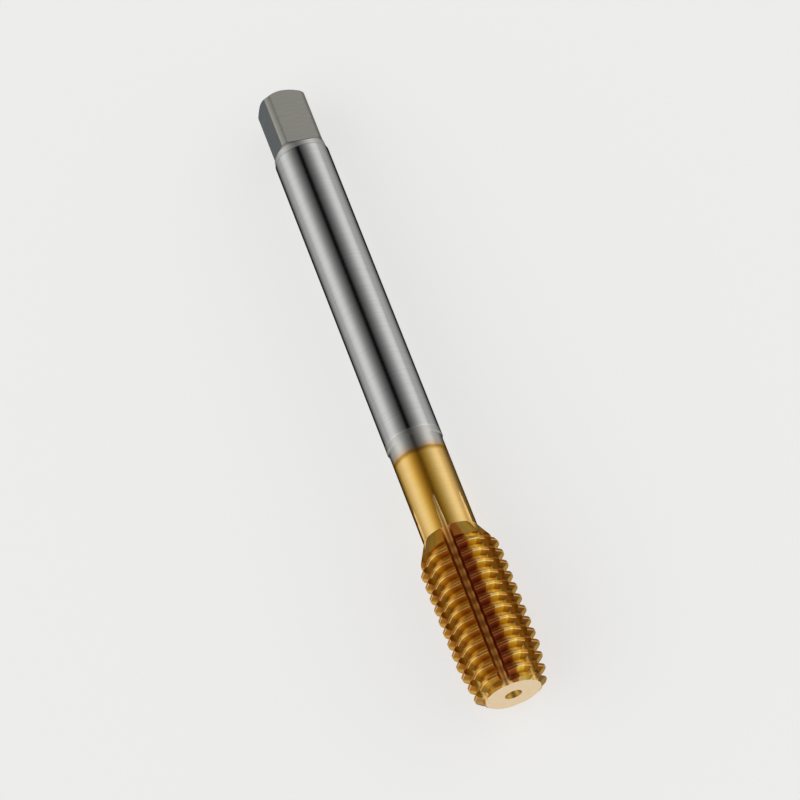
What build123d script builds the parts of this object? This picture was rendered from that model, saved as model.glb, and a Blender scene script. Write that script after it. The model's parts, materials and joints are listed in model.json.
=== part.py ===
from build123d import *
import math
import os

os.makedirs("parts", exist_ok=True)

# Lengths along the tool, measured from the front face
overall_length = 110.0
thread_head_length = 27.4
neck_length = 16.35
square_length = 10.5

# Diameters of the turned body
shank_diameter = 9.0
neck_diameter = 8.67
square_turned_diameter = 8.6

# Thread, at the top of a lobe
major_diameter = 12.88
threads_per_inch = 13
thread_depth = 0.95
crest_width = 0.4
flank_angle = 30.0
thread_phase = -0.255

# Lobes: a land at full diameter, then a bulged side that drops towards the oil groove
lobe_count = 6
land_angle = 12.0
crest_relief = 0.44
valley_relief = 0.34

# Lead taper and chamfer at the front, cone down to the neck at the back
lead_length = 6.3
lead_angle = 8.0
front_face_diameter = 8.7
front_chamfer_angle = 60.0
back_cone_angle = 27.0

# Oil grooves between the lobes, ground with a large wheel that runs out on the neck
groove_width = 1.56
groove_bottom_diameter = 8.45
groove_wheel_radius = 190.0

# Drive square, its ramps and the bevels of the shank
across_flats = 6.85
square_angle = 26.2
square_ramp_angle = 55.0
shoulder_bevel_length = 0.85
step_bevel_length = 0.3
end_face_diameter = 5.2
end_chamfer_angle = 35.0

# Centre holes in both ends
centre_drill_diameter = 1.25
centre_hole_diameter = 2.65
centre_hole_depth = 3.6
centre_hole_angle = 60.0

# Room that a cutter leaves outside the metal, and degrees that it runs on past its own stretch
cutter_clearance = 0.1
cutter_overlap = 3.0

# Radii and positions that follow from the sizes above
shank_radius = shank_diameter / 2
neck_radius = neck_diameter / 2
turned_radius = square_turned_diameter / 2
major_radius = major_diameter / 2
root_radius = major_radius - thread_depth
face_radius = front_face_diameter / 2
end_face_radius = end_face_diameter / 2
outer_radius = major_radius + cutter_clearance
pitch = 25.4 / threads_per_inch
shank_start = thread_head_length + neck_length
square_start = overall_length - square_length
lead_slope = math.tan(math.radians(lead_angle))
flank_slope = math.tan(math.radians(flank_angle))
lead_rise = pitch / 2 * lead_slope
lobe_step = 360 / lobe_count
side_angle = lobe_step - land_angle
helix_angle = math.degrees(math.atan(pitch / (math.pi * (major_radius + root_radius))))


def side_radius(land_radius, relief):
    """Radius of the bulged side that joins two lands and drops by the relief half-way."""
    half_angle = math.radians(side_angle / 2)
    half_chord = land_radius * math.sin(half_angle)
    bulge = land_radius - relief - land_radius * math.cos(half_angle)
    return (half_chord**2 + bulge**2) / (2 * bulge)


def valley_cutter(centre_x, root_x, reach):
    """Ring segment about an axis at centre_x that grinds the valley as far as reach to each side."""
    root_half_width = (pitch - crest_width) / 2 - thread_depth * flank_slope
    top_x = root_x + thread_depth + lead_rise + cutter_clearance
    top_half_width = root_half_width + (top_x - root_x) * flank_slope
    reach_angle = math.degrees(math.asin(reach / (root_x - centre_x)))
    turning_axis = Axis((centre_x, 0, 0), (0, 0, 1))
    with BuildPart() as cutter:
        with BuildSketch(Plane.XZ):
            with BuildLine():
                Polyline(
                    (root_x, -root_half_width),
                    (top_x, -top_half_width),
                    (top_x, top_half_width),
                    (root_x, root_half_width),
                    close=True,
                )
            make_face()
        revolve(axis=turning_axis, revolution_arc=2 * reach_angle)
    return cutter.part.rotate(turning_axis, -reach_angle).rotate(Axis.X, helix_angle)


def land_cutter(lead_drop):
    """Cutter of one valley across a land, turned about the axis of the tap."""
    land_reach = root_radius * math.sin(math.radians(land_angle / 2 + cutter_overlap))
    return valley_cutter(0, root_radius - lead_drop, land_reach)


def side_cutter(lead_drop):
    """Cutter of one valley across a side, turned about the centre of its bulge."""
    side_reach = major_radius * math.sin(math.radians(side_angle / 2 + cutter_overlap))
    middle_x = root_radius - valley_relief
    return valley_cutter(
        middle_x - side_radius(root_radius, valley_relief), middle_x - lead_drop, side_reach
    )


# Every valley of the thread: one turn crosses a side and a land for each lobe, and climbs one pitch
valleys = []
turn_count = math.ceil(thread_head_length / pitch) + 1
for make_cutter, start_turn in ((side_cutter, 0), (land_cutter, 0.5 / lobe_count)):
    full_cutter = make_cutter(0)
    for step in range(-lobe_count, turn_count * lobe_count):
        turned = start_turn + step / lobe_count
        height = thread_phase + pitch * (turned + 0.5)
        lead_drop = (lead_length - height) * lead_slope
        cutter = make_cutter(lead_drop) if lead_drop > 0 else full_cutter
        valleys.append(cutter.moved(Location((0, 0, height), (0, 0, 360 * turned))))

# Lobed blank of the thread head, with its lead taper, front chamfer and back cone
chamfer_slope = math.tan(math.radians(front_chamfer_angle))
cone_slope = math.tan(math.radians(back_cone_angle))
chamfer_length = (outer_radius - face_radius) / chamfer_slope
cone_length = (outer_radius - neck_radius) / cone_slope
with BuildPart() as thread_head:
    with BuildSketch(Plane.XY.offset(lead_length)) as lobed_section:
        with BuildLine():
            for lobe in range(lobe_count):
                side_start = lobe * lobe_step - side_angle / 2
                land_start = side_start + side_angle
                ThreePointArc(
                    Vector(major_radius, 0).rotate(Axis.Z, side_start),
                    Vector(major_radius - crest_relief, 0).rotate(Axis.Z, lobe * lobe_step),
                    Vector(major_radius, 0).rotate(Axis.Z, land_start),
                )
                ThreePointArc(
                    Vector(major_radius, 0).rotate(Axis.Z, land_start),
                    Vector(major_radius, 0).rotate(Axis.Z, land_start + land_angle / 2),
                    Vector(major_radius, 0).rotate(Axis.Z, land_start + land_angle),
                )
        make_face()
    extrude(amount=thread_head_length - lead_length)
    extrude(lobed_section.sketch, amount=lead_length, dir=(0, 0, -1), taper=lead_angle)
    with BuildSketch(Plane.XZ):
        with BuildLine():
            Polyline(
                (0, 0),
                (face_radius, 0),
                (outer_radius, chamfer_length),
                (outer_radius, thread_head_length - cone_length),
                (neck_radius, thread_head_length),
                (0, thread_head_length),
                close=True,
            )
        make_face()
    revolve(axis=Axis.Z, mode=Mode.INTERSECT)
    add(valleys, mode=Mode.SUBTRACT)

# Groove cutter: straight along the thread, then an arc of the wheel that lifts it clear of the tap
groove_bottom_radius = groove_bottom_diameter / 2
lift = major_radius - groove_bottom_radius
lift_angle = math.degrees(math.acos(1 - lift / groove_wheel_radius))
wheel_axis = Axis((groove_bottom_radius + groove_wheel_radius, 0, thread_head_length), (0, 1, 0))
with BuildPart() as groove_cutter:
    with BuildSketch(Plane.XY.offset(thread_head_length)) as groove_section:
        with Locations((groove_bottom_radius + groove_width / 2, 0)):
            Circle(groove_width / 2)
            Rectangle(major_radius, groove_width, align=(Align.MIN, Align.CENTER))
    extrude(amount=-(thread_head_length + cutter_clearance))
    revolve(groove_section.sketch, axis=wheel_axis, revolution_arc=lift_angle)

# Cutter of one flat of the drive square, with the ramp that the flat runs out in
ramp_radius = turned_radius + cutter_clearance
ramp_length = (ramp_radius - across_flats / 2) / math.tan(math.radians(square_ramp_angle))
with BuildPart() as flat_cutter:
    with BuildSketch(Plane.XZ):
        with BuildLine():
            Polyline(
                (across_flats / 2, overall_length + cutter_clearance),
                (across_flats / 2, square_start),
                (ramp_radius, square_start - ramp_length),
                (ramp_radius, overall_length + cutter_clearance),
                close=True,
            )
        make_face()
    extrude(amount=turned_radius, both=True)

# The tap standing on its front face
end_chamfer_length = (turned_radius - end_face_radius) * math.tan(math.radians(end_chamfer_angle))
shoulder = square_start - ramp_length - shoulder_bevel_length
with BuildPart() as upright_tap:
    add(thread_head.part)
    with BuildSketch(Plane.XZ):
        with BuildLine():
            Polyline(
                (0, thread_head_length),
                (neck_radius, thread_head_length),
                (neck_radius, shank_start - step_bevel_length),
                (shank_radius, shank_start),
                (shank_radius, shoulder),
                (turned_radius, shoulder + shoulder_bevel_length),
                (turned_radius, overall_length - end_chamfer_length),
                (end_face_radius, overall_length),
                (0, overall_length),
                close=True,
            )
        make_face()
    revolve(axis=Axis.Z)
    with PolarLocations(0, lobe_count):
        add(groove_cutter.part, mode=Mode.SUBTRACT)
    with PolarLocations(0, 4, start_angle=square_angle):
        add(flat_cutter.part, mode=Mode.SUBTRACT)
    for end_plane in (Plane.XY.offset(overall_length), Plane.YX):
        with Locations(end_plane):
            CounterSinkHole(
                radius=centre_drill_diameter / 2,
                counter_sink_radius=centre_hole_diameter / 2,
                depth=centre_hole_depth,
                counter_sink_angle=centre_hole_angle,
            )

# At rest the tap lies on two lobes beside a groove and on the end of its shank
lobe_rest_radius = major_radius * math.cos(math.radians((lobe_step - land_angle) / 2))
rest_span = shoulder - (thread_head_length - cone_length)
rest_tilt = math.asin((lobe_rest_radius - shank_radius) / rest_span)
lying_plane = Plane(
    origin=(0, 0, 0),
    x_dir=(0, math.sin(rest_tilt), math.cos(rest_tilt)),
    z_dir=(0, math.cos(rest_tilt), -math.sin(rest_tilt)),
)
lying_tap = upright_tap.part.moved(lying_plane.location)
lying_box = lying_tap.bounding_box()
with BuildPart() as forming_tap:
    with Locations((-lying_box.center().X, -lying_box.center().Y, -lying_box.min.Z)):
        add(lying_tap)

forming_tap.part.label = "forming_tap"
export_step(forming_tap.part, "parts/forming_tap.step")
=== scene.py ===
import json
import math

import bmesh
import bpy
from mathutils import Matrix, Vector


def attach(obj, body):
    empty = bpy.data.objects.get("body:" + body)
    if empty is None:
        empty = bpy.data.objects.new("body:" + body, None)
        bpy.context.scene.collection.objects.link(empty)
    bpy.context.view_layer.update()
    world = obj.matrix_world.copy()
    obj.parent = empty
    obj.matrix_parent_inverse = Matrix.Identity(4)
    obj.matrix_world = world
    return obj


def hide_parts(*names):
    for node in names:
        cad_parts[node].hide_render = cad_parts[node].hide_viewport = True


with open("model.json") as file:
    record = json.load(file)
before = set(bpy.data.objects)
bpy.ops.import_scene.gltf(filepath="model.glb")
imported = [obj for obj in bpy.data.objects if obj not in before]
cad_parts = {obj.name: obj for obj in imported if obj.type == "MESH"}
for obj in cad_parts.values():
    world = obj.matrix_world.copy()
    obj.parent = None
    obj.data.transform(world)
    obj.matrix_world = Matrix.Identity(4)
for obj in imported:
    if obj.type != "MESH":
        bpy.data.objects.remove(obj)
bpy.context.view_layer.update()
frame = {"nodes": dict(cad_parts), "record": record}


# the tap's own coordinates: y runs along its axis from the front face, z is up through a groove
mounts = {mount["name"]: mount for mount in frame["record"]["mounts"]}
frontFace = Vector(mounts["front_centre_hole"]["pos_m"])
tapAxis = Vector(mounts["shank"]["axis"])
restTilt = math.asin(tapAxis.z)
tapMatrix = Matrix.Translation(frontFace) @ Matrix.Rotation(restTilt, 4, "X")
toTap = tapMatrix.inverted()
grooveStep = 60        # degrees from one oil groove to the next


# small steps that the materials are made of
def newMaterial(name):
    material = bpy.data.materials.new(name)
    material.use_nodes = True
    material.node_tree.nodes.clear()
    return material, material.node_tree


def addNode(tree, kind, **settings):
    node = tree.nodes.new(kind)
    for key, value in settings.items():
        setattr(node, key, value)
    return node


def feed(tree, socket, value):
    # another node's output is linked to the socket, a number or colour is set on it
    if isinstance(value, bpy.types.NodeSocket):
        tree.links.new(value, socket)
    elif socket.type == "RGBA":
        socket.default_value = (*value, 1.0)
    else:
        socket.default_value = value


def showSurface(tree, shader, kind="ShaderNodeOutputMaterial"):
    feed(tree, addNode(tree, kind).inputs["Surface"], shader.outputs[0])


def mathNode(tree, operation, *values):
    node = addNode(tree, "ShaderNodeMath", operation=operation)
    for socket, value in zip(node.inputs, values):
        feed(tree, socket, value)
    return node.outputs[0]


def awayFrom(tree, value, middle):
    return mathNode(tree, "ABSOLUTE", mathNode(tree, "SUBTRACT", value, middle))


def rangeNode(tree, value, low, high, outLow=0.0, outHigh=1.0, kind="SMOOTHSTEP"):
    node = addNode(tree, "ShaderNodeMapRange", interpolation_type=kind)
    names = ("Value", "From Min", "From Max", "To Min", "To Max")
    for name, number in zip(names, (value, low, high, outLow, outHigh)):
        feed(tree, node.inputs[name], number)
    return node.outputs["Result"]


def mixNumber(tree, share, first, second):
    change = mathNode(tree, "SUBTRACT", second, first)
    return mathNode(tree, "MULTIPLY_ADD", share, change, first)


def mixColour(tree, share, first, second, mode="MIX", clamp=False):
    node = addNode(tree, "ShaderNodeMix", data_type="RGBA", blend_type=mode, clamp_result=clamp)
    for place, value in ((0, share), (6, first), (7, second)):        # 6 and 7 are its colours
        feed(tree, node.inputs[place], value)
    return node.outputs[2]


def noiseNode(tree, place, scale, detail, roughness=0.5):
    node = addNode(tree, "ShaderNodeTexNoise")
    names = ("Vector", "Scale", "Detail", "Roughness")
    for name, value in zip(names, (place, scale, detail, roughness)):
        feed(tree, node.inputs[name], value)
    return node.outputs["Fac"]


def drawnNoise(tree, place, scale, detail):
    # a scale of its own on each axis draws the noise out to rings or straight marks
    drawn = addNode(tree, "ShaderNodeVectorMath", operation="MULTIPLY")
    feed(tree, drawn.inputs[0], place)
    feed(tree, drawn.inputs[1], scale)
    return noiseNode(tree, drawn.outputs[0], 1.0, detail)


# the stretch of a noise over which a colour or the roughness changes, and its middle
noiseBand = {
    "colour": (0.35, 0.65),
    "roughness": (0.3, 0.7),
    "middle": 0.5,
}


def noiseColour(tree, noise, low, high):
    return mixColour(tree, rangeNode(tree, noise, *noiseBand["colour"]), low, high)


def noiseRoughness(tree, noise, limits):
    return rangeNode(tree, noise, *noiseBand["roughness"], *limits)


def splitPlace(tree, place):
    split = addNode(tree, "ShaderNodeSeparateXYZ")
    feed(tree, split.inputs[0], place)
    across, along, up = split.outputs
    return {"place": place, "across": across, "along": along, "up": up}


def tapPlace(tree):
    # place in the tap's own coordinates, in metres
    mapping = addNode(tree, "ShaderNodeMapping", vector_type="TEXTURE")
    feed(tree, mapping.inputs["Vector"], addNode(tree, "ShaderNodeTexCoord").outputs["Object"])
    feed(tree, mapping.inputs["Location"], frontFace)
    feed(tree, mapping.inputs["Rotation"], (restTilt, 0, 0))
    return splitPlace(tree, mapping.outputs["Vector"])


def fromTop(tree, at):
    # degrees round the axis from straight up, where the upper oil groove is
    return mathNode(tree, "DEGREES", mathNode(tree, "ARCTAN2", at["across"], at["up"]))


def fromGroove(tree, angle):
    # degrees round the axis from the nearest oil groove
    return mathNode(tree, "WRAP", angle, grooveStep / 2, -grooveStep / 2)


def toneRamp(tree, angle, stops):
    # colours given by degrees, as a straight blend from each stop to the next
    ramp = addNode(tree, "ShaderNodeValToRGB")
    ramp.color_ramp.interpolation = "LINEAR"
    elements = ramp.color_ramp.elements
    elements.remove(elements[-1])
    first, last = stops[0][0], stops[-1][0]
    for index, (degrees, tone) in enumerate(stops):
        position = (degrees - first) / (last - first)
        element = elements[0] if index == 0 else elements.new(position)
        element.position = position
        element.color = (*tone, 1.0)
    feed(tree, ramp.inputs[0], rangeNode(tree, angle, first, last, kind="LINEAR"))
    return ramp.outputs[0]


def metalShader(tree, colour, roughness, height, depth, edgeTint, grinding=0.0):
    shader = addNode(tree, "ShaderNodeBsdfPrincipled")
    feed(tree, shader.inputs["Base Color"], colour)
    feed(tree, shader.inputs["Roughness"], roughness)
    feed(tree, shader.inputs["Metallic"], 1.0)
    feed(tree, shader.inputs["Specular Tint"], (edgeTint, edgeTint, edgeTint))
    if grinding > 0:
        # ground round the axis, so the gloss spreads along it: a quarter turn from the tangent
        tangent = addNode(tree, "ShaderNodeTangent", direction_type="RADIAL", axis="Y")
        feed(tree, shader.inputs["Tangent"], tangent.outputs[0])
        feed(tree, shader.inputs["Anisotropic"], grinding)
        feed(tree, shader.inputs["Anisotropic Rotation"], 0.25)
    bump = addNode(tree, "ShaderNodeBump")
    feed(tree, bump.inputs["Strength"], 1.0)
    feed(tree, bump.inputs["Distance"], depth)
    feed(tree, bump.inputs["Height"], height)
    feed(tree, shader.inputs["Normal"], bump.outputs["Normal"])
    showSurface(tree, shader)


# ground and polished shank: fine rings from the grinding wheel, and a matte ring at its front end
# that a painted highlight line closes
shankFinish = {
    "colour": (0.46, 0.46, 0.455),
    "darkRing": (0.42, 0.42, 0.415),
    "matte": (0.46, 0.455, 0.43),
    # a painted highlight line where the matte ring ends
    "line": (0.58, 0.575, 0.56),
    "matteEnd": 0.0446,
    "lineWidth": 0.00009,
    "roughness": (0.10, 0.15),
    "matteRoughness": 0.30,
    "ringScale": (150.0, 14000.0, 150.0),
    "ringDetail": 3.0,
    "ringDepth": 0.0000008,
    "edgeTint": 0.0,
    "grinding": 0.6,
}


def makeShankSteel():
    material, tree = newMaterial("polishedShankSteel")
    at = tapPlace(tree)
    end = shankFinish["matteEnd"]
    width = shankFinish["lineWidth"]
    rings = drawnNoise(tree, at["place"], shankFinish["ringScale"], shankFinish["ringDetail"])
    colour = noiseColour(tree, rings, shankFinish["darkRing"], shankFinish["colour"])
    onMatte = rangeNode(tree, at["along"], end + width / 4, end - width / 4)
    # a painted highlight line where the matte ring ends
    onPaintedLine = rangeNode(tree, awayFrom(tree, at["along"], end), width, width / 2)
    colour = mixColour(tree, onMatte, colour, shankFinish["matte"])
    colour = mixColour(tree, onPaintedLine, colour, shankFinish["line"])
    polished = noiseRoughness(tree, rings, shankFinish["roughness"])
    roughness = mixNumber(tree, onMatte, polished, shankFinish["matteRoughness"])
    metalShader(
        tree, colour, roughness, rings, shankFinish["ringDepth"],
        shankFinish["edgeTint"], shankFinish["grinding"],
    )
    return material


# milled square: faint straight tool marks across the flats, a painted shade on the left one,
# cooler and darker, and thin painted shade lines where the bevel and the flats start
squareFinish = {
    "colour": (0.335, 0.325, 0.29),
    "darkMark": (0.30, 0.29, 0.26),
    "ramp": (0.47, 0.465, 0.44),
    "flatFrom": (0.0990, 0.0992),        # along the axis, where the ramps' tone gives way
    # a painted shade on the left flat, cooler and darker
    "shadeBlue": (0.72, 0.78, 0.90),
    "blueMiddle": -63.8,        # degrees round the axis
    "blueReach": (38.0, 35.5),
    "paintedShadeLine": (0.50, 0.50, 0.49),
    "lines": (0.09798, 0.0995),        # along the axis: painted shade lines at the start of the bevel and of the flats
    "lineFade": (0.00012, 0.00004),
    "roughness": (0.30, 0.38),
    "markScale": (400.0, 9000.0, 400.0),
    "markDetail": 2.0,
    "markDepth": 0.000001,
    "edgeTint": 0.3,
}


def makeSquareSteel():
    material, tree = newMaterial("milledSquareSteel")
    at = tapPlace(tree)
    marks = drawnNoise(tree, at["place"], squareFinish["markScale"], squareFinish["markDetail"])
    colour = noiseColour(tree, marks, squareFinish["darkMark"], squareFinish["colour"])
    onFlat = rangeNode(tree, at["along"], *squareFinish["flatFrom"])
    colour = mixColour(tree, onFlat, squareFinish["ramp"], colour)
    # the left flat gets a painted shade, cooler and darker
    fromBlue = awayFrom(tree, fromTop(tree, at), squareFinish["blueMiddle"])
    onBlue = rangeNode(tree, fromBlue, *squareFinish["blueReach"])
    onBlue = mathNode(tree, "MULTIPLY", onBlue, onFlat)
    colour = mixColour(tree, onBlue, colour, squareFinish["shadeBlue"], "MULTIPLY")
    # thin painted shade lines where the bevel and the flats start
    for line in squareFinish["lines"]:
        onPaintedLine = rangeNode(tree, awayFrom(tree, at["along"], line), *squareFinish["lineFade"])
        colour = mixColour(tree, onPaintedLine, colour, squareFinish["paintedShadeLine"], "MULTIPLY")
    roughness = noiseRoughness(tree, marks, squareFinish["roughness"])
    metalShader(
        tree, colour, roughness, marks, squareFinish["markDepth"], squareFinish["edgeTint"]
    )
    return material


# what the coated surfaces share: a fine grain, and clouds of a browner tone
coatFinish = {
    "grainScale": 12000.0,
    "grainDetail": 2.0,
    "grainDepth": 0.000003,
    "cloudScale": 900.0,
    "cloudDetail": 4.0,
    "cloudRoughness": 0.6,
    "cloudBand": (0.35, 0.75),
    "cloudShare": 0.35,
    "cloudTint": (0.75, 0.62, 0.5),
}


def grainNode(tree, at):
    return noiseNode(tree, at["place"], coatFinish["grainScale"], coatFinish["grainDetail"])


def cloudNode(tree, at, scale, detail=coatFinish["cloudDetail"]):
    return noiseNode(tree, at["place"], scale, detail, coatFinish["cloudRoughness"])


def addClouds(tree, at, colour):
    cloud = cloudNode(tree, at, coatFinish["cloudScale"])
    share = rangeNode(tree, cloud, *coatFinish["cloudBand"], 0.0, coatFinish["cloudShare"])
    return mixColour(tree, share, colour, coatFinish["cloudTint"], "MULTIPLY")


# neck: gold coat that ends in a soft brown fringe, and the matte ground ring behind it
neckFinish = {
    # the gold holds painted light and shade round the axis: a deeper orange along the top and
    # darker bands at 60 to 76 degrees
    "gold": (        # degrees from straight up, the same on both sides
        (0, (1.0, 0.43, 0.03)), (12, (1.0, 0.53, 0.065)), (20, (0.85, 0.53, 0.13)),
        (28, (0.71, 0.495, 0.175)), (36, (0.70, 0.49, 0.20)), (44, (0.76, 0.52, 0.20)),
        (52, (0.78, 0.50, 0.16)), (60, (0.54, 0.36, 0.14)), (68, (0.38, 0.26, 0.12)),
        (76, (0.45, 0.33, 0.16)), (120, (0.67, 0.465, 0.185)), (180, (0.67, 0.465, 0.185)),
    ),
    "ringShade": (0.86, 0.78, 0.62),
    "ringShare": 0.3,
    "ringScale": (200.0, 9000.0, 200.0),
    "ringDetail": 2.0,
    "brown": (0.42, 0.235, 0.05),
    "brownFrom": (0.0402, 0.0409),        # along the axis, as the next two
    "pinkGrey": (0.50, 0.38, 0.28),
    "pinkFrom": (0.0410, 0.0414),
    "grey": (0.46, 0.45, 0.42),
    "greyFrom": (0.0413, 0.0424),
    "waveScale": 350.0,
    "waveDetail": 3.0,
    "wave": 0.0008,
    "goldRoughness": (0.27, 0.34),
    "greyRoughness": 0.25,
    "edgeTint": 0.0,
    "grinding": 0.95,
}


def makeNeckCoat():
    material, tree = newMaterial("goldNeckCoat")
    at = tapPlace(tree)
    rings = drawnNoise(tree, at["place"], neckFinish["ringScale"], neckFinish["ringDetail"])
    grain = grainNode(tree, at)
    # the end of the coat runs in and out a little round the neck
    cloud = cloudNode(tree, at, neckFinish["waveScale"], neckFinish["waveDetail"])
    wave = mathNode(tree, "SUBTRACT", cloud, noiseBand["middle"])
    wave = mathNode(tree, "MULTIPLY", wave, neckFinish["wave"])
    edge = mathNode(tree, "ADD", at["along"], wave)
    onPink = rangeNode(tree, edge, *neckFinish["pinkFrom"])
    # gold with painted light and shade by degrees round the axis
    colour = toneRamp(tree, mathNode(tree, "ABSOLUTE", fromTop(tree, at)), neckFinish["gold"])
    onRing = rangeNode(tree, rings, *noiseBand["roughness"], 0.0, neckFinish["ringShare"])
    colour = mixColour(tree, onRing, colour, neckFinish["ringShade"], "MULTIPLY")
    onBrown = rangeNode(tree, edge, *neckFinish["brownFrom"])
    colour = mixColour(tree, onBrown, colour, neckFinish["brown"])
    colour = mixColour(tree, onPink, colour, neckFinish["pinkGrey"])
    onGrey = rangeNode(tree, edge, *neckFinish["greyFrom"])
    colour = mixColour(tree, onGrey, colour, neckFinish["grey"])
    coated = noiseRoughness(tree, grain, neckFinish["goldRoughness"])
    roughness = mixNumber(tree, onPink, coated, neckFinish["greyRoughness"])
    metalShader(
        tree, colour, roughness, grain, coatFinish["grainDepth"],
        neckFinish["edgeTint"], neckFinish["grinding"],
    )
    return material


# thread: painted light and shade in the coat, with brighter gold lands, browner sides towards the
# oil grooves, a maroon painted shade beside the upper one and lit and shaded colours for each face
threadFinish = {
    "coats": {        # each face's painted light and shade: its colours on the lands, on the sides and in the painted shade
        "root": ((0.52, 0.235, 0.032), (0.62, 0.27, 0.022), (0.42, 0.10, 0.03)),
        "frontFlank": ((0.80, 0.47, 0.045), (0.47, 0.195, 0.018), (0.32, 0.07, 0.022)),
        "backFlank": ((0.52, 0.255, 0.026), (0.50, 0.20, 0.016), (0.34, 0.075, 0.02)),
        "crest": ((0.68, 0.36, 0.06), (0.58, 0.24, 0.02), (0.36, 0.10, 0.02)),
        # worn crest edges: the wear is real, the paler colour a painted highlight
        "edge": ((0.92, 0.64, 0.32), (0.86, 0.55, 0.22), (0.52, 0.23, 0.065)),
        "cone": ((0.32, 0.18, 0.03), (0.34, 0.17, 0.02), (0.26, 0.09, 0.016)),
        "chamfer": ((0.60, 0.34, 0.08), (0.46, 0.25, 0.04), (0.28, 0.10, 0.02)),
    },
    "landEdge": 23.5,        # degrees from the nearest groove to the start of a land
    "landBlend": (4.5, 1.2),        # how softly it starts, left and right of the upper groove
    "blendTurn": (-8.0, 8.0),
    "paintedShadeMiddle": 12.0,        # degrees from straight up
    "paintedShadeFade": (14.0, 6.0),
    "tone": (        # degrees from straight up, and what all the coats there are multiplied by: painted light and shade
        (-180, (1.0, 1.0, 1.0)), (-100, (1.0, 1.0, 1.0)), (-84, (1.0, 1.08, 1.8)),
        (-63, (1.0, 1.08, 1.8)), (-57, (0.64, 0.64, 0.7)), (-44, (0.76, 0.78, 0.7)),
        (-34, (0.90, 0.86, 0.6)), (-25, (0.86, 0.83, 0.6)), (-20, (1.22, 1.12, 0.95)),
        (22, (1.18, 1.15, 1.0)), (24.5, (1.12, 1.15, 1.3)), (29, (1.04, 1.16, 1.4)),
        (33, (1.0, 1.25, 1.4)), (37, (1.2, 1.55, 1.3)), (42, (1.25, 1.38, 1.0)),
        (48, (0.88, 0.84, 0.8)), (57, (0.64, 0.62, 0.7)), (63, (0.52, 0.52, 0.66)),
        (84, (0.52, 0.52, 0.66)), (100, (1.0, 1.0, 1.0)), (180, (1.0, 1.0, 1.0)),
    ),
    "edgeTone": 0.3,        # the share of it that the worn edges take
    "landRoughness": (0.34, 0.42),
    "sideRoughness": (0.44, 0.52),
    "edgeTint": 0.6,
}


def makeThreadCoat(part):
    landColour, sideColour, paintedShadeColour = threadFinish["coats"][part]
    material, tree = newMaterial(part + "Coat")
    at = tapPlace(tree)
    angle = fromTop(tree, at)
    grain = grainNode(tree, at)
    away = mathNode(tree, "ABSOLUTE", fromGroove(tree, angle))
    beyond = mathNode(tree, "SUBTRACT", away, threadFinish["landEdge"])
    blend = rangeNode(tree, angle, *threadFinish["blendTurn"], *threadFinish["landBlend"])
    onLand = rangeNode(tree, mathNode(tree, "DIVIDE", beyond, blend), -1.0, 1.0)
    # a maroon painted shade beside the upper groove
    fromPaintedShade = awayFrom(tree, angle, threadFinish["paintedShadeMiddle"])
    inPaintedShade = rangeNode(tree, fromPaintedShade, *threadFinish["paintedShadeFade"])
    side = mixColour(tree, inPaintedShade, sideColour, paintedShadeColour)
    # the lands painted lighter than the sides towards the grooves
    colour = addClouds(tree, at, mixColour(tree, onLand, side, landColour))
    # painted light and shade by degrees round the axis
    tone = toneRamp(tree, angle, threadFinish["tone"])
    share = threadFinish["edgeTone"] if part == "edge" else 1.0
    colour = mixColour(tree, share, colour, tone, "MULTIPLY", clamp=True)
    landGrain = noiseRoughness(tree, grain, threadFinish["landRoughness"])
    sideGrain = noiseRoughness(tree, grain, threadFinish["sideRoughness"])
    roughness = mixNumber(tree, onLand, sideGrain, landGrain)
    metalShader(
        tree, colour, roughness, grain, coatFinish["grainDepth"], threadFinish["edgeTint"]
    )
    return material


# oil grooves: a pale floor of painted light that wavers with each turn of the thread, between
# walls of painted shade
grooveFinish = {
    "floor": (0.98, 0.50, 0.11),
    "floorShade": (0.62, 0.26, 0.05),
    "leftWall": (0.56, 0.18, 0.03),
    "rightWall": (0.21, 0.045, 0.014),
    "wallTurn": (-2.0, 2.0),        # degrees from the groove's middle
    "sideFloor": (0.60, 0.37, 0.075),        # in the other grooves
    "sideWall": (0.44, 0.215, 0.037),
    "sideRise": (0.0048, 0.0056),        # radius from which their walls take a painted shade
    "sideFrom": (25.0, 35.0),        # degrees from straight up
    "bare": (0.86, 0.56, 0.20),        # on the neck and at the front face
    "neckFrom": (0.0262, 0.0286),        # along the axis, as the next one
    "frontFrom": (0.0013, 0.0005),
    "shift": 0.00007,        # the floor's pale stretch lies a little to the left
    "floorWidth": (0.00030, 0.00046),
    "waveDepth": 0.00005,
    "waveStart": -0.000255,
    "waveFade": (0.027, 0.023),
    "pitch": 0.0254 / 13,
    "roughness": (0.42, 0.50),
    "edgeTint": 1.0,
}


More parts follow.
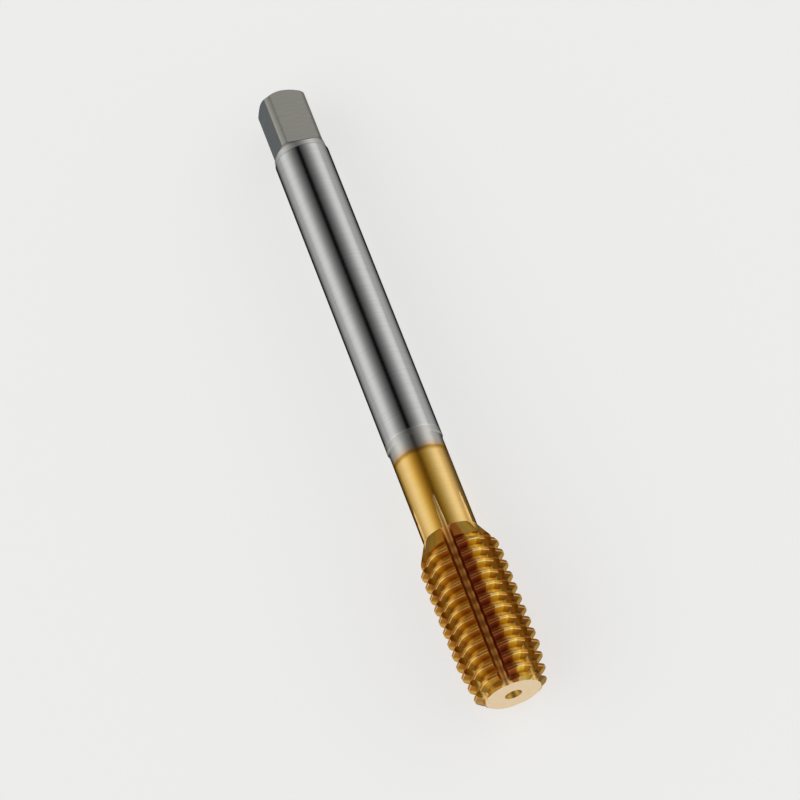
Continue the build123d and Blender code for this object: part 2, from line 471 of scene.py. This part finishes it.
def makeGrooveCoat():
    material, tree = newMaterial("grooveCoat")
    at = tapPlace(tree)
    topAngle = fromTop(tree, at)
    angle = fromGroove(tree, topAngle)
    grain = grainNode(tree, at)
    # distance from the axis, and sideways from the middle of the groove
    squares = [mathNode(tree, "MULTIPLY", at[way], at[way]) for way in ("across", "up")]
    radius = mathNode(tree, "SQRT", mathNode(tree, "ADD", *squares))
    sine = mathNode(tree, "SINE", mathNode(tree, "RADIANS", angle))
    offset = mathNode(tree, "MULTIPLY_ADD", radius, sine, grooveFinish["shift"])
    # one wave of painted light and shade to each turn of the thread
    turns = mathNode(tree, "SUBTRACT", at["along"], grooveFinish["waveStart"])
    turns = mathNode(tree, "DIVIDE", turns, grooveFinish["pitch"])
    wave = mathNode(tree, "COSINE", mathNode(tree, "MULTIPLY", turns, 2 * math.pi))
    onThread = rangeNode(tree, at["along"], *grooveFinish["waveFade"])
    wave = mathNode(tree, "MULTIPLY", wave, onThread)
    narrowing = mathNode(tree, "MULTIPLY", wave, -grooveFinish["waveDepth"])
    distance = mathNode(tree, "ADD", mathNode(tree, "ABSOLUTE", offset), narrowing)
    # painted light on the floor and painted shade on the walls of the upper groove
    lit = rangeNode(tree, wave, -1.0, 1.0)
    floor = mixColour(tree, lit, grooveFinish["floorShade"], grooveFinish["floor"])
    onRight = rangeNode(tree, angle, *grooveFinish["wallTurn"])
    wall = mixColour(tree, onRight, grooveFinish["leftWall"], grooveFinish["rightWall"])
    onWall = rangeNode(tree, distance, *grooveFinish["floorWidth"])
    colour = mixColour(tree, onWall, floor, wall)
    # the other grooves: floors and walls with painted shade, darker outwards
    risen = rangeNode(tree, radius, *grooveFinish["sideRise"])
    side = mixColour(tree, risen, grooveFinish["sideFloor"], grooveFinish["sideWall"])
    onSide = rangeNode(tree, mathNode(tree, "ABSOLUTE", topAngle), *grooveFinish["sideFrom"])
    colour = mixColour(tree, onSide, colour, side)
    # both ends of every groove
    ends = [rangeNode(tree, at["along"], *grooveFinish[end]) for end in ("neckFrom", "frontFrom")]
    colour = mixColour(tree, mathNode(tree, "MAXIMUM", *ends), colour, grooveFinish["bare"])
    colour = addClouds(tree, at, colour)
    roughness = noiseRoughness(tree, grain, grooveFinish["roughness"])
    metalShader(
        tree, colour, roughness, grain, coatFinish["grainDepth"], grooveFinish["edgeTint"]
    )
    return material


# plainer coats, without a pattern round the axis
plainFinish = {
    "frontFace": {
        "colour": (1.0, 0.83, 0.58),
        "darkCloud": (1.0, 0.79, 0.53),
        "cloudScale": 1200.0,
        "roughness": (0.46, 0.54),
        "edgeTint": 0.5,
    },
    "centreHole": {
        "colour": (0.55, 0.33, 0.06),
        "darkCloud": (0.40, 0.20, 0.03),
        "cloudScale": 1200.0,
        "roughness": (0.34, 0.42),
        "edgeTint": 0.5,
    },
}


def makePlainCoat(part):
    finish = plainFinish[part]
    material, tree = newMaterial(part + "Coat")
    at = tapPlace(tree)
    cloud = cloudNode(tree, at, finish["cloudScale"])
    grain = grainNode(tree, at)
    colour = noiseColour(tree, cloud, finish["darkCloud"], finish["colour"])
    roughness = noiseRoughness(tree, grain, finish["roughness"])
    metalShader(tree, colour, roughness, grain, coatFinish["grainDepth"], finish["edgeTint"])
    return material


# the tap itself, with its crest edges worn: lengths along the axis, radii, and the share of a
# face's normal or an edge's direction that points along the axis
tapShape = {
    "mergeDistance": 1e-7,
    "sharpAngle": math.radians(38),
    "smoothAngle": math.radians(22),
    "rootRadius": 0.00549,
    "leadLength": 0.0063,
    "leadSlope": math.tan(math.radians(8)),
    "crestHeight": 0.00042,
    "crestSlant": 0.35,
    "crestWear": 0.00006,
    "faceDepth": 0.0001,
    "faceNormal": -0.95,
    "chamferEnd": 0.0012,
    "chamferNormal": -0.7,
    "threadStart": 0.0008,
    "flankNormal": 0.45,
    "coneStart": 0.0228,
    "coneNormal": (0.3, 0.6),
    "threadEnd": 0.0274,
    "seam": 0.00001,
    "grooveHalfWidth": 0.000785,
    "grooveEnd": 0.0365,
    "holeRadius": 0.00134,
    "neckRadius": 0.004318,
    "neckEnd": 0.04465,
    "shankEnd": 0.09794,
}


def crestRise(point):
    # height above the roots of the thread, which drop along the lead
    leadDrop = max(tapShape["leadLength"] - point.y, 0) * tapShape["leadSlope"]
    return math.hypot(point.x, point.z) - (tapShape["rootRadius"] - leadDrop)


def isCrestEdge(middle, direction):
    onThread = tapShape["threadStart"] < middle.y < tapShape["threadEnd"]
    level = abs(direction.y) < tapShape["crestSlant"]
    return onThread and level and crestRise(middle) > tapShape["crestHeight"]


def isSharp(edge):
    folded = len(edge.link_faces) == 2 and edge.is_convex
    return folded and edge.calc_face_angle() > tapShape["sharpAngle"]


def selectCrestEdges(mesh):
    shape = bmesh.from_edit_mesh(mesh)
    for edge in shape.edges:
        if isSharp(edge):
            start, end = (toTap @ vertex.co for vertex in edge.verts)
            if isCrestEdge((start + end) / 2, (end - start).normalized()):
                edge.select = True
    bmesh.update_edit_mesh(mesh)


def grooveOffset(point):
    # distance from the middle plane of the nearest oil groove
    step = math.radians(grooveStep)
    angle = math.atan2(point.x, point.z)
    angle -= round(angle / step) * step
    return abs(math.hypot(point.x, point.z) * math.sin(angle))


def zoneOf(point, normal):
    # name of the material that a face gets
    radius = math.hypot(point.x, point.z)
    if radius < tapShape["holeRadius"]:
        return "centreHole" if point.y < tapShape["neckEnd"] else "square"
    if point.y > tapShape["shankEnd"]:
        return "square"
    if point.y > tapShape["neckEnd"]:
        return "shank"
    if point.y < tapShape["faceDepth"] and normal.y < tapShape["faceNormal"]:
        return "frontFace"
    onNeck = point.y > tapShape["threadEnd"] and radius > tapShape["neckRadius"]
    besideGroove = onNeck or grooveOffset(point) >= tapShape["grooveHalfWidth"]
    if point.y < tapShape["grooveEnd"] and not besideGroove:
        return "groove"
    if point.y > tapShape["threadEnd"] - tapShape["seam"]:
        return "neck"
    if point.y < tapShape["chamferEnd"] and normal.y < tapShape["chamferNormal"]:
        return "chamfer"
    coneLow, coneHigh = tapShape["coneNormal"]
    if point.y > tapShape["coneStart"] and coneLow < normal.y < coneHigh:
        return "cone"
    if abs(normal.y) > tapShape["flankNormal"]:
        return "frontFlank" if normal.y < 0 else "backFlank"
    return "crest" if crestRise(point) > tapShape["crestHeight"] else "root"


def makeTapMaterials():
    materials = {
        "shank": makeShankSteel(),
        "square": makeSquareSteel(),
        "neck": makeNeckCoat(),
        "groove": makeGrooveCoat(),
    }
    for part in threadFinish["coats"]:
        materials[part] = makeThreadCoat(part)
    for part in plainFinish:
        materials[part] = makePlainCoat(part)
    print("materials made,", len(materials))
    return materials


def copyTap():
    # a copy of the CAD node's mesh, its loose triangles merged
    bpy.ops.object.select_all(action="DESELECT")
    mesh = frame["nodes"]["forming_tap"].data.copy()
    mesh.name = "formingTapBody"
    tap = bpy.data.objects.new("formingTapBody", mesh)
    bpy.context.scene.collection.objects.link(tap)
    bpy.context.view_layer.objects.active = tap
    tap.select_set(True)
    bpy.ops.mesh.customdata_custom_splitnormals_clear()
    bpy.ops.object.mode_set(mode="EDIT")
    bpy.ops.mesh.select_all(action="SELECT")
    bpy.ops.mesh.remove_doubles(threshold=tapShape["mergeDistance"])
    bpy.ops.object.mode_set(mode="OBJECT")
    return tap


def paintZones(mesh, materials):
    mesh.materials.clear()
    for material in materials.values():
        mesh.materials.append(material)
    names = list(materials)
    turn = toTap.to_3x3()
    for face in mesh.polygons:
        face.material_index = names.index(zoneOf(toTap @ face.center, turn @ face.normal))


def wearCrests(mesh, edgeMaterial):
    bpy.ops.object.mode_set(mode="EDIT")
    bpy.ops.mesh.select_mode(type="EDGE")
    bpy.ops.mesh.select_all(action="DESELECT")
    selectCrestEdges(mesh)
    bpy.ops.mesh.bevel(
        offset=tapShape["crestWear"], segments=1, material=edgeMaterial, clamp_overlap=False
    )
    bpy.ops.mesh.select_all(action="DESELECT")
    bpy.ops.object.mode_set(mode="OBJECT")


def setTurnedNormals(mesh, zones):
    # true round normals on the turned surfaces, whatever the shape of their triangles
    normals = [Vector(corner.vector) for corner in mesh.corner_normals]
    turnIn = toTap.to_3x3()
    turnOut = tapMatrix.to_3x3()
    for face in mesh.polygons:
        if face.material_index not in zones:
            continue
        along = (turnIn @ face.normal).y
        for loop in face.loop_indices:
            point = toTap @ mesh.vertices[mesh.loops[loop].vertex_index].co
            outward = Vector((point.x, 0, point.z)).normalized() * math.sqrt(1 - along * along)
            normals[loop] = turnOut @ (outward + Vector((0, along, 0)))
    mesh.normals_split_custom_set(normals)


def makeTap():
    tap = copyTap()
    mesh = tap.data
    materials = makeTapMaterials()
    names = list(materials)
    paintZones(mesh, materials)
    wearCrests(mesh, names.index("edge"))
    bpy.ops.object.shade_smooth_by_angle(angle=tapShape["smoothAngle"])
    setTurnedNormals(mesh, [names.index(name) for name in ("shank", "neck", "cone")])
    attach(tap, "root")
    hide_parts("forming_tap")
    print("tap made,", len(mesh.polygons), "faces")


# plain pale floor
floorSettings = {
    "radius": 3.0,
    "corners": 96,
    "colour": (0.42, 0.42, 0.415),
    "glow": 0.62,
    "glowColour": (1.0, 1.0, 0.995),
}


def makeFloor():
    bpy.ops.object.select_all(action="DESELECT")
    bpy.ops.mesh.primitive_circle_add(
        vertices=floorSettings["corners"], radius=floorSettings["radius"],
        fill_type="NGON", location=(0, 0, 0),
    )
    floor = bpy.context.object
    floor.name = "paleFloor"
    material, tree = newMaterial("paleFloorPaint")
    paint = addNode(tree, "ShaderNodeBsdfDiffuse")
    feed(tree, paint.inputs["Color"], floorSettings["colour"])
    # the glow shows to the camera and in reflections, and sheds no light on the tap
    rays = addNode(tree, "ShaderNodeLightPath")
    seen = mathNode(
        tree, "MAXIMUM", rays.outputs["Is Camera Ray"], rays.outputs["Is Glossy Ray"]
    )
    seen = mathNode(tree, "MAXIMUM", seen, rays.outputs["Is Transmission Ray"])
    glow = addNode(tree, "ShaderNodeEmission")
    feed(tree, glow.inputs["Color"], floorSettings["glowColour"])
    feed(tree, glow.inputs["Strength"], mathNode(tree, "MULTIPLY", seen, floorSettings["glow"]))
    both = addNode(tree, "ShaderNodeAddShader")
    feed(tree, both.inputs[0], paint.outputs[0])
    feed(tree, both.inputs[1], glow.outputs[0])
    showSurface(tree, both)
    floor.data.materials.append(material)
    print("floor laid")


# a soft tent of light: bright at both sides, dark overhead where the camera looks in
tentLight = {
    "turn": 3.6,        # degrees that its dark middle leans to the right
    "stops": (        # degrees from the dark middle, and the light's level there
        (0, 0.005), (4, 0.01), (8, 0.06), (16, 0.16), (24, 0.25), (32, 0.40),
        (40, 0.57), (48, 0.82), (56, 1.07), (64, 1.26), (74, 1.34), (90, 1.10),
    ),
    "ends": (0.68, 0.90),        # share of a direction that points lengthways
    "endLevel": 0.80,        # the light's level there
}


def makeTentLight():
    world = bpy.data.worlds.new("lightTent")
    bpy.context.scene.world = world
    world.use_nodes = True
    tree = world.node_tree
    tree.nodes.clear()
    at = splitPlace(tree, addNode(tree, "ShaderNodeTexCoord").outputs["Generated"])
    fromDark = awayFrom(tree, fromTop(tree, at), tentLight["turn"])
    stops = [(degrees, (level, level, level)) for degrees, level in tentLight["stops"]]
    onEnds = rangeNode(tree, mathNode(tree, "ABSOLUTE", at["along"]), *tentLight["ends"])
    endLight = (tentLight["endLevel"],) * 3
    background = addNode(tree, "ShaderNodeBackground")
    light = mixColour(tree, onEnds, toneRamp(tree, fromDark, stops), endLight)
    feed(tree, background.inputs["Color"], light)
    showSurface(tree, background, "ShaderNodeOutputWorld")
    print("light set")


# the camera, fitted to the outline of the tap in the photograph and given in the tap's coordinates
cameraSettings = {
    "aim": (0.000391, 0.051826, 0.0),
    "distance": 0.546493,
    "azimuth": math.radians(7.3095),
    "elevation": math.radians(63.1564),
    "roll": math.radians(-29.7602),
    "focalPixels": 3563.9,
    "imageWidth": 800,
    "sensorWidth": 36.0,
    "clip": (0.01, 20.0),
}


def makeCamera():
    bpy.ops.object.camera_add()
    camera = bpy.context.object
    camera.name = "photoCamera"
    pixelSize = cameraSettings["sensorWidth"] / cameraSettings["imageWidth"]
    camera.data.sensor_width = cameraSettings["sensorWidth"]
    camera.data.lens = cameraSettings["focalPixels"] * pixelSize
    camera.data.clip_start, camera.data.clip_end = cameraSettings["clip"]
    aim = Matrix.Translation(cameraSettings["aim"])
    turn = Matrix.Rotation(cameraSettings["azimuth"], 4, "Z")
    lift = Matrix.Rotation(math.pi / 2 - cameraSettings["elevation"], 4, "X")
    back = Matrix.Translation((0, 0, cameraSettings["distance"]))
    roll = Matrix.Rotation(cameraSettings["roll"], 4, "Z")
    camera.matrix_world = tapMatrix @ aim @ turn @ lift @ back @ roll
    bpy.context.scene.camera = camera
    print("camera set")


makeTap()
makeFloor()
makeTentLight()
makeCamera()
bpy.context.scene.view_settings.view_transform = "Standard"
